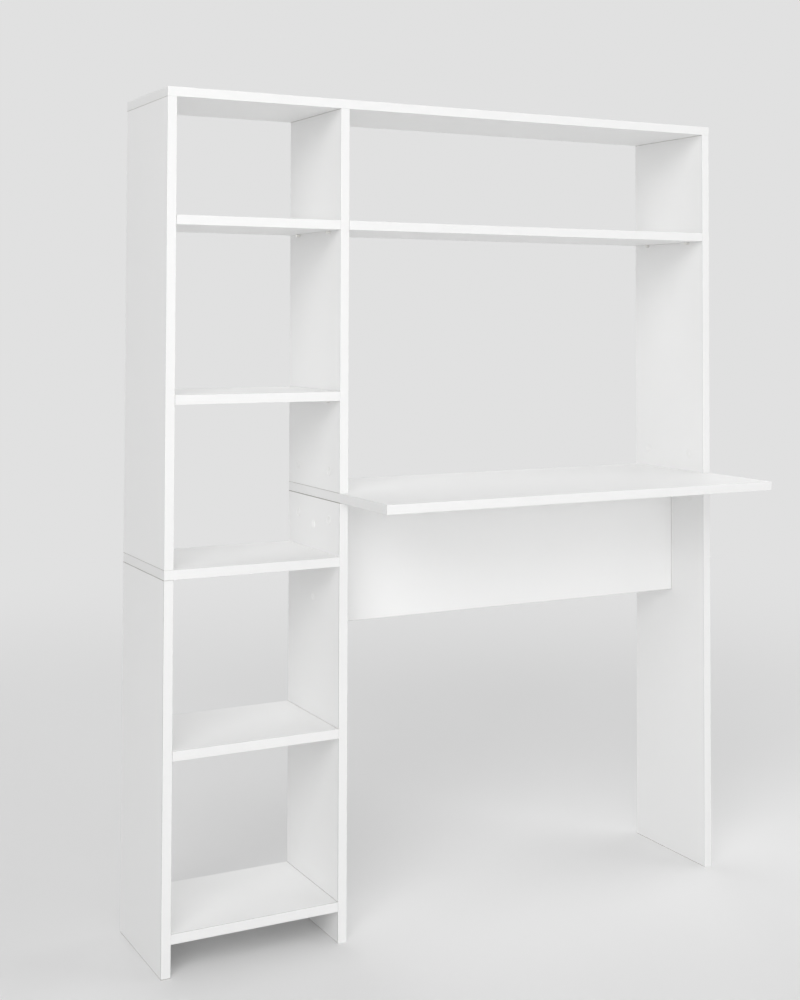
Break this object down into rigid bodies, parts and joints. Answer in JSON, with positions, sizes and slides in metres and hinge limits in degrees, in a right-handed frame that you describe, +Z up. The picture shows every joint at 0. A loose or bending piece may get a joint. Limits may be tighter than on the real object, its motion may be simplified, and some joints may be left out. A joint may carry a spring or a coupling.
{
  "type": "writing desk with shelf unit",
  "caption": "Narrow home-office desk in white coated board: an overhanging desktop and a knee-space panel, between an open shelf column and a high bridging shelf.",
  "frame": {"origin": "on the floor, in the middle of the width and of the desktop's depth", "axes": "+X to the right of someone sitting at the desk, +Y from the sitter to the back, +Z up"},
  "size_m": [1.1008, 0.39, 1.4208],
  "materials": {
    "board": "satin",
    "edging": "satin",
    "cap": "satin",
    "cam": "cast",
    "steel": "zinc plated",
    "dowel": "plain"
  },
  "bodies": {
    "root": {"bottom_shelf": "board", "bottom_shelf_edging": "edging", "column_shelf_bolts": "steel", "column_shelf_cam_caps": "cap", "column_shelf_cams": "cam", "column_shelf_dowels": "dowel", "desktop": "board", "desktop_edging": "edging", "left_tie_bolts": "steel", "left_tie_cam_caps": "cap", "left_tie_cams": "cam", "left_tie_dowel": "dowel", "lower_left_shelf": "board", "lower_left_shelf_edging": "edging", "lower_left_shelf_supports": "steel", "lower_left_side": "board", "lower_left_side_edging": "edging", "lower_partition": "board", "lower_partition_edging": "edging", "lower_right_side": "board", "lower_right_side_edging": "edging", "middle_left_shelf": "board", "middle_left_shelf_edging": "edging", "middle_left_shelf_supports": "steel", "modesty_dowels": "dowel", "modesty_panel": "board", "modesty_panel_edging": "edging", "modesty_screw_caps": "cap", "modesty_screws": "steel", "partition_desk_bolts": "steel", "partition_desk_cam_caps": "cap", "partition_desk_cams": "cam", "partition_desk_dowel": "dowel", "right_desk_bolts": "steel", "right_desk_cam_caps": "cap", "right_desk_cams": "cam", "right_desk_dowel": "dowel", "tie_shelf": "board", "tie_shelf_edging": "edging", "top_panel": "board", "top_panel_dowels": "dowel", "top_panel_edging": "edging", "top_panel_screw_caps": "cap", "top_panel_screws": "steel", "upper_left_shelf": "board", "upper_left_shelf_edging": "edging", "upper_left_shelf_supports": "steel", "upper_left_side": "board", "upper_left_side_edging": "edging", "upper_partition": "board", "upper_partition_edging": "edging", "upper_right_shelf": "board", "upper_right_shelf_edging": "edging", "upper_right_shelf_supports": "steel", "upper_right_side": "board", "upper_right_side_edging": "edging"}
  },
  "joints": []
}
